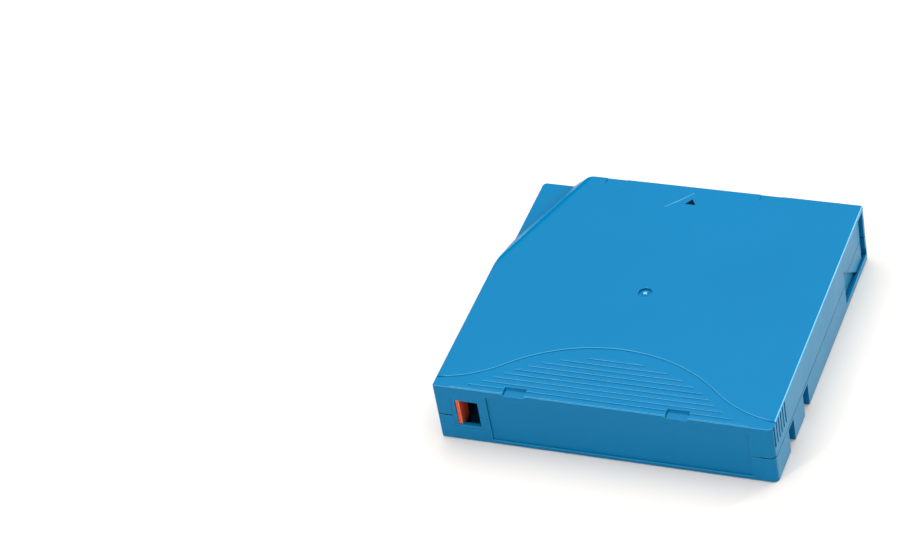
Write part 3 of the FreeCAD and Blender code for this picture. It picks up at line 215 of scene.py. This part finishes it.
plasticRecipes = {
    "caseBlue": dict(casePlastic, creaseDepth=0.85),
    # painted sheen: a paler copy of the case blue for the faces turned to the right, standing in for
    # the grazing reflection there
    "caseSidePaintedSheen": dict(casePlastic, color=(0.035, 0.255, 0.460), creaseDepth=0.85, specular=0.20),
    # painted highlight: paler, glossier blue for the bevel faces along the case edges
    "caseEdgePaintedHighlight": dict(casePlastic, color=(0.035, 0.37, 0.64), roughness=(0.24, 0.30),
                     specular=0.5),
    # painted shade: near-black blue for the inner faces of the shells, standing in for the deep
    # shade inside the case
    "caseInsidePaintedShade": dict(casePlastic, color=(0.0, 0.006, 0.014), roughness=(0.5, 0.6),
                       specular=0.05),
    # painted highlight: a pale, glossy blue on the pip in the roof's dimple
    "casePipPaintedHighlight": dict(casePlastic, color=(0.15, 0.50, 0.74), roughness=(0.14, 0.18),
                    specular=0.9),
    "caseMatt": dict(casePlastic, roughness=(0.85, 0.9), specular=0.0),
    # painted highlight: a much paler blue for the middle band of the top-edge rounds
    "caseRimPaintedHighlight": dict(casePlastic, color=(0.12, 0.54, 0.84), roughness=(0.24, 0.30),
                    specular=0.5),
    "tabPlastic": dict(casePlastic, color=(0.80, 0.090, 0.035), roughness=(0.30, 0.38),
                       grainScale=1800.0),
    # painted highlight: paler, glossier red for the bevel faces along the tab edges
    "tabEdgePaintedHighlight": dict(casePlastic, color=(0.90, 0.30, 0.20), roughness=(0.25, 0.32),
                    specular=0.4),
    "hubPlastic": dict(casePlastic, color=(0.58, 0.59, 0.57), roughness=(0.38, 0.5)),
    "flangePlastic": dict(casePlastic, color=(0.42, 0.45, 0.46), roughness=(0.25, 0.35)),
    "brakePlastic": dict(casePlastic, color=(0.70, 0.70, 0.66), roughness=(0.35, 0.45)),
    "padPlastic": dict(casePlastic, color=(0.03, 0.03, 0.032), roughness=(0.35, 0.5)),
    "boardLacquer": dict(casePlastic, color=(0.02, 0.16, 0.06), roughness=(0.2, 0.3)),
    "chipEpoxy": dict(casePlastic, color=(0.012, 0.012, 0.013), roughness=(0.3, 0.45)),
    "arrowInk": dict(casePlastic, color=(0.001, 0.008, 0.02), roughness=(0.6, 0.7),
                     specular=0.05, grainDepth=0.000004),
    "hairline": dict(casePlastic, color=(0.16, 0.46, 0.74), roughness=(0.25, 0.3),
                     specular=0.5),
}


def ringsAbout(tree, coords, centre, recipe):
    mapping = tree.nodes.new("ShaderNodeMapping")
    mapping.inputs["Location"].default_value = (-centre[0], -centre[1], 0)
    tree.links.new(coords, mapping.inputs["Vector"])
    rings = tree.nodes.new("ShaderNodeTexWave")
    rings.wave_type = "RINGS"
    rings.rings_direction = "Z"
    rings.inputs["Scale"].default_value = recipe["ringScale"]
    rings.inputs["Distortion"].default_value = recipe["ringWander"]
    rings.inputs["Detail"].default_value = recipe["ringDetail"]
    tree.links.new(mapping.outputs["Vector"], rings.inputs["Vector"])
    return rings.outputs["Fac"]


plateSteel = {
    "colors": ((0.62 * 0.92,) * 3, (0.62, 0.62, 0.62 * 0.99)), "cloudScale": 160.0,
    "roughness": (0.22, 0.34), "patchScale": 500.0,
    "ringScale": 900.0, "ringWander": 1.5, "ringDetail": 2.0, "ringDepth": 0.000006,
}
pinSteel = dict(plateSteel, colors=((0.7 * 0.92,) * 3, (0.7, 0.7, 0.7 * 0.99)),
                roughness=(0.12, 0.2))


def turnedSteel(name, centre, recipe):
    # fine rings about a centre, as left by stamping and turning
    mat, tree, shader, coords = startMaterial(name)
    rings = ringsAbout(tree, coords, centre, recipe)
    shader.inputs["Metallic"].default_value = 1.0
    clouds = addNoise(tree, coords, recipe["cloudScale"])
    tree.links.new(blendColors(tree, clouds, *recipe["colors"]), shader.inputs["Base Color"])
    patches = addNoise(tree, coords, recipe["patchScale"])
    tree.links.new(spread(tree, patches, *recipe["roughness"]), shader.inputs["Roughness"])
    addBump(tree, shader, rings, recipe["ringDepth"])
    return mat


springWire = {
    "colors": ((0.40, 0.40, 0.41), (0.55, 0.55, 0.55)), "roughness": (0.22, 0.36),
    "streakScale": 900.0, "streakDepth": 0.000005,
}


def drawnWire(name, recipe):
    mat, tree, shader, coords = startMaterial(name)
    shader.inputs["Metallic"].default_value = 1.0
    streaks = addNoise(tree, coords, recipe["streakScale"])
    tree.links.new(blendColors(tree, streaks, *recipe["colors"]), shader.inputs["Base Color"])
    tree.links.new(spread(tree, streaks, *recipe["roughness"]), shader.inputs["Roughness"])
    addBump(tree, shader, streaks, recipe["streakDepth"])
    return mat


tapeEdges = {
    "colors": ((0.018, 0.014, 0.013), (0.045, 0.036, 0.032)), "roughness": (0.25, 0.42),
    "ringScale": 1500.0, "ringWander": 4.0, "ringDetail": 3.0, "ringDepth": 0.00001,
}


def woundTape(name, centre, recipe):
    # the edges of the turns: fine dark rings, a few standing proud
    mat, tree, shader, coords = startMaterial(name)
    turns = ringsAbout(tree, coords, centre, recipe)
    tree.links.new(blendColors(tree, turns, *recipe["colors"]), shader.inputs["Base Color"])
    tree.links.new(spread(tree, turns, *recipe["roughness"]), shader.inputs["Roughness"])
    addBump(tree, shader, turns, recipe["ringDepth"])
    return mat


def middleOf(node):
    low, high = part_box(node)
    return (low[0] + high[0]) / 2, (low[1] + high[1]) / 2


reelCentre = middleOf("clutch_plate")
finishes = {name: mouldedPlastic(name, recipe) for name, recipe in plasticRecipes.items()}
finishes["plateSteel"] = turnedSteel("plateSteel", reelCentre, plateSteel)
finishes["pinSteel"] = turnedSteel("pinSteel", middleOf("leader_pin"), pinSteel)
finishes["springWire"] = drawnWire("springWire", springWire)
finishes["tapeEdges"] = woundTape("tapeEdges", reelCentre, tapeEdges)
print("materials made:", len(finishes))


cleaning = {"merge": 0.002, "flat": 0.6}    # mm, degrees


def inside(verts, low, high):
    return all(low[k] * mm <= v.co[k] <= high[k] * mm for v in verts for k in range(3))


def inRegion(face, region):
    direction, least, most = region["facing"]
    return (inside(face.verts, *region["box"])
            and least <= face.normal.dot(Vector(direction)) <= most)


def dressedNode(node, body, finish, edges):
    # a merged copy of the CAD mesh whose sharp edges get a small moulded radius
    mesh = nodes[node].data.copy()
    mesh.materials.clear()
    for name in (finish, edges["finish"], *(region["finish"] for region in edges["regions"])):
        mesh.materials.append(finishes[name])
    piece = bpy.data.objects.new(node + "_skin", mesh)
    scene.collection.objects.link(piece)
    limit = math.radians(edges["sharp"])
    bm = bmesh.new()
    bm.from_mesh(mesh)
    bmesh.ops.remove_doubles(bm, verts=bm.verts, dist=cleaning["merge"] * mm)
    bmesh.ops.dissolve_limit(bm, angle_limit=math.radians(cleaning["flat"]),
                             verts=bm.verts, edges=bm.edges)
    for face in bm.faces:
        face.smooth = True
        for index, region in enumerate(edges["regions"], start=2):
            if inRegion(face, region):
                face.material_index = index
    weights = bm.edges.layers.float.new("bevel_weight_edge")
    for edge in bm.edges:
        if len(edge.link_faces) == 2 and edge.is_convex and edge.calc_face_angle() > limit:
            edge[weights] = edges["radius"] / edges["most"]
            for low, high, radius in edges["zones"]:
                if inside(edge.verts, low, high):
                    edge[weights] = radius / edges["most"]
    bm.to_mesh(mesh)
    bm.free()
    mesh.set_sharp_from_angle(angle=limit)
    mod = piece.modifiers.new("brokenEdges", "BEVEL")
    mod.width = edges["most"] * mm
    mod.segments = edges["segments"]
    mod.limit_method = "WEIGHT"
    mod.use_clamp_overlap = False
    mod.harden_normals = True
    mod.material = 1        # painted highlight: the bevel faces get a paler blue that stands in for the light lines along the edges; they are glossier as well
    flat = piece.modifiers.new("flatFaces", "WEIGHTED_NORMAL")
    flat.mode = "FACE_AREA"
    flat.weight = 100
    flat.keep_sharp = True
    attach(piece, body)
    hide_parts(node)


# a region holds a finish, a box (low and high corner), and a direction with the
# least and the most that a face may lean to it; a zone holds a box and a radius
up = (0, 0, 1)
right = (1, 0, 0)
# painted shade: faces inside the hollow of the case get the near-black finish
inner = {"finish": "caseInsidePaintedShade", "box": ((-51.6, -49.3, 1.5), (51.6, 49.3, 20.1)),
         "facing": (up, -1.01, 1.01)}
# painted sheen: faces turned to the right get the paler copy of the case blue
rightSidePaintedSheen = {"finish": "caseSidePaintedSheen", "box": ((49, -51, 0), (53, 51, 21.5)),
             "facing": (right, 0.9, 1.01)}
seamZone = ((-53, -52, 9.4), (53, 52, 9.8), 0.0)
plainEdges = {
    "radius": 0.05, "most": 0.3, "segments": 2, "sharp": 32, "finish": "caseEdgePaintedHighlight",
    "zones": [seamZone],
    "regions": [inner, rightSidePaintedSheen],
}
roofEdges = dict(plainEdges, zones=[
    seamZone,
    ((-53, -52, 20.9), (53, -22, 21.6), 0.11),      # the ridges
    ((-53, -52, 21.45), (53, -22, 21.6), 0.17),     # the bell's step
    ((-53, -48.45, 20.4), (53, -47.9, 21.47), 0.0),   # the ridge that the nicks cut stays sharp
    ((49.5, -50, 21.0), (53, -44, 21.6), 0.0),        # the bell's two ends, where it runs out
    ((-53, -50, 21.0), (-49.5, -44, 21.6), 0.0),
], regions=[
    inner, rightSidePaintedSheen,
    # painted highlight: the middle band of the right and near top-edge rounds
    {"finish": "caseRimPaintedHighlight", "box": ((51.9, -52, 20.6), (53, 52, 21.6)),
     "facing": (up, 0.45, 0.93)},
    {"finish": "caseRimPaintedHighlight", "box": ((-53, -52, 20.6), (53, -50.4, 21.6)),
     "facing": (up, 0.45, 0.93)},
    # painted highlight: the faces of the pip in the roof's dimple
    {"finish": "casePipPaintedHighlight", "box": ((-2.5, -0.7, 20.6), (-1.1, 0.7, 21.6)),
     "facing": (up, 0.5, 1.01)},
    {"finish": "caseMatt", "box": ((-53, 0, 16.3), (-30, 51.1, 21.6)),
     "facing": (up, 0.2, 0.995)},
])
dressedNode("upper_shell", "case", "caseBlue", roofEdges)
dressedNode("lower_shell", "case", "caseBlue", plainEdges)
doorEdges = dict(plainEdges, regions=[rightSidePaintedSheen])
dressedNode("door", "door", "caseBlue", doorEdges)
# the tab's bevel faces get the painted highlight finish
tabEdges = dict(plainEdges, radius=0.15, finish="tabEdgePaintedHighlight", regions=[])
dressedNode("write_protect_tab", "tab", "tabPlastic", tabEdges)
print("case dressed")

plainFinishes = {
    "case_screws": "springWire", "door_spring": "springWire", "reel_hub": "hubPlastic",
    "upper_flange": "flangePlastic", "clutch_plate": "plateSteel", "tape_pack": "tapeEdges",
    "brake_button": "brakePlastic", "brake_spring": "springWire", "release_pad": "padPlastic",
    "leader_pin": "pinSteel", "tape_clamp": "padPlastic", "leader_tape": "tapeEdges",
    "pin_retaining_spring": "springWire", "memory_board": "boardLacquer", "memory_chip": "chipEpoxy",
}
for node, finish in plainFinishes.items():
    for slot in nodes[node].material_slots:
        slot.material = finishes[finish]
print("inner pieces finished")


def layPrint(name, bm, thick):
    # thickens the flat faces of a print upwards and lays it on the case
    grown = bmesh.ops.extrude_face_region(bm, geom=list(bm.faces))
    lifted = [v for v in grown["geom"] if isinstance(v, bmesh.types.BMVert)]
    bmesh.ops.translate(bm, verts=lifted, vec=(0, 0, thick * mm))
    bmesh.ops.recalc_face_normals(bm, faces=bm.faces)
    mesh = bpy.data.meshes.new(name)
    bm.to_mesh(mesh)
    bm.free()
    piece = bpy.data.objects.new(name, mesh)
    scene.collection.objects.link(piece)
    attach(piece, "case")
    return mesh


arrow = {"tip": (-0.4, 44.95), "width": 3.4, "height": 2.6, "ink": 0.104, "sunk": 0.1}


def makeArrow():
    bottom = cadBox[1][2] - arrow["sunk"] * mm
    tipX, tipY = arrow["tip"]
    corners = [(tipX, tipY), (tipX - arrow["width"] / 2, tipY - arrow["height"]),
               (tipX + arrow["width"] / 2, tipY - arrow["height"])]
    bm = bmesh.new()
    bm.faces.new([bm.verts.new((x * mm, y * mm, bottom)) for x, y in corners])
    layPrint("insertion_arrow", bm, arrow["ink"]).materials.append(finishes["arrowInk"])


hairline = {
    "points": [(-8.0, 40.1), (-4.5, 43.5), (-0.6, 47.9)], "width": 0.20,
    "taper": (0.5, 1.0, 0.5), "rise": 0.004, "thick": 0.1,
}


def makeHairline():
    # a fine paler line, raised a few microns, on the roof beside the arrow
    bottom = cadBox[1][2] + (hairline["rise"] - hairline["thick"]) * mm
    points = [Vector(point) for point in hairline["points"]]
    along = points[-1] - points[0]
    side = Vector((-along.y, along.x)).normalized() * hairline["width"] / 2
    bm = bmesh.new()
    rails = []
    for share, point in zip(hairline["taper"], points):
        ends = (point - side * share, point + side * share)
        rails.append([bm.verts.new((end.x * mm, end.y * mm, bottom)) for end in ends])
    for near, far in zip(rails, rails[1:]):
        bm.faces.new((near[0], near[1], far[1], far[0]))
    layPrint("pale_hairline", bm, hairline["thick"]).materials.append(finishes["hairline"])


makeArrow()
makeHairline()
print("arrow printed")


stage = {"size": 6.0, "drop": 0.02, "color": (0.905, 0.863, 0.815), "roughness": 0.7,
         "specular": 0.2}


def makeFloor():
    mesh = bpy.data.meshes.new("floor")
    bm = bmesh.new()
    bmesh.ops.create_grid(bm, x_segments=1, y_segments=1, size=stage["size"])
    bmesh.ops.translate(bm, verts=bm.verts, vec=(0, 0, -stage["drop"] * mm))
    bm.to_mesh(mesh)
    bm.free()
    mat, _, shader, _ = startMaterial("paleFloor")
    shader.inputs["Base Color"].default_value = (*stage["color"], 1)
    shader.inputs["Roughness"].default_value = stage["roughness"]
    shader.inputs["Specular IOR Level"].default_value = stage["specular"]
    mesh.materials.append(mat)
    floor = bpy.data.objects.new("floor", mesh)
    scene.collection.objects.link(floor)


softBoxes = {
    # name: place, size, power, colour; all of them aim at the middle of the floor
    "keyLight": ((-0.02, 0.24, 1.28), 2.0, 19.5, (1.0, 1.0, 1.0)),
    "frontBox": ((-0.46, -0.83, 0.89), 0.20, 3.0, (1.0, 1.0, 1.0)),
    "rightStrip": ((0.83, 0.89, 0.46), 0.22, 3.5, (1.0, 1.0, 1.0)),
}
sky = {"color": (1.0, 1.0, 1.0), "strength": 0.48}


def makeLights():
    for name, (place, size, power, color) in softBoxes.items():
        lamp = bpy.data.lights.new(name, "AREA")
        lamp.shape = "DISK"
        lamp.size = size
        lamp.energy = power
        lamp.color = color
        item = bpy.data.objects.new(name, lamp)
        item.location = place
        item.rotation_euler = (-Vector(place)).to_track_quat("-Z", "Y").to_euler()
        scene.collection.objects.link(item)
    world = bpy.data.worlds.new("studio")
    world.use_nodes = True
    background = world.node_tree.nodes["Background"]
    background.inputs["Color"].default_value = (*sky["color"], 1)
    background.inputs["Strength"].default_value = sky["strength"]
    scene.world = world


mainCamera = {
    "place": (0.30321, -0.71215, 0.68679),
    "turn": (49.590, 8.653, 20.018),    # degrees
    "lens": 133.22,
    "sensor": 36.0,
    "nearest": 0.05,
}


def makeCamera():
    lens = bpy.data.cameras.new("mainCamera")
    lens.lens = mainCamera["lens"]
    lens.sensor_width = mainCamera["sensor"]
    lens.clip_start = mainCamera["nearest"]
    camera = bpy.data.objects.new("mainCamera", lens)
    camera.location = mainCamera["place"]
    camera.rotation_euler = [math.radians(a) for a in mainCamera["turn"]]
    scene.collection.objects.link(camera)
    scene.camera = camera


makeFloor()
makeLights()
makeCamera()
scene.view_settings.view_transform = "Standard"
print("stage set")
